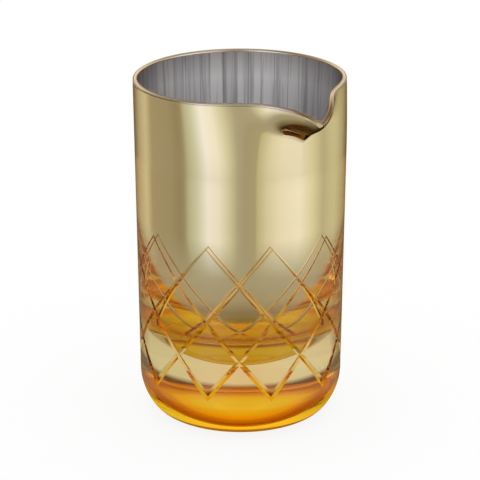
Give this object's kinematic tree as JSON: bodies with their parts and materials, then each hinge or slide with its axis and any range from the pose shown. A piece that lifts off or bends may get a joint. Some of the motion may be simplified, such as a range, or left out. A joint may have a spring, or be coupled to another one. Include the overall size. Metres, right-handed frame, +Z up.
{
  "type": "mixing glass",
  "caption": "Cocktail mixing glass with a heavy rounded base, a pinched pouring lip, a silvered inside and an amber lustre cut through by a belt of crossing mitre cuts",
  "frame": {"origin": "middle of the foot, on the plane that the glass stands on", "axes": "+Z up along the glass's axis, +X towards the pouring lip, +Y to the left of the lip as seen from behind the glass"},
  "size_m": [0.1046, 0.0918, 0.1502],
  "materials": {
    "clear_glass": "fire-polished clear glass, bright-polished cuts",
    "silver_mirror": "chemically silvered, slightly streaked",
    "amber_lustre": "transparent glossy amber"
  },
  "bodies": {
    "root": {"glass_body": "clear_glass", "mirror_lining": "silver_mirror", "amber_field": "amber_lustre", "amber_lozenges": "amber_lustre", "amber_heel": "amber_lustre", "amber_punt": "amber_lustre"}
  },
  "joints": []
}
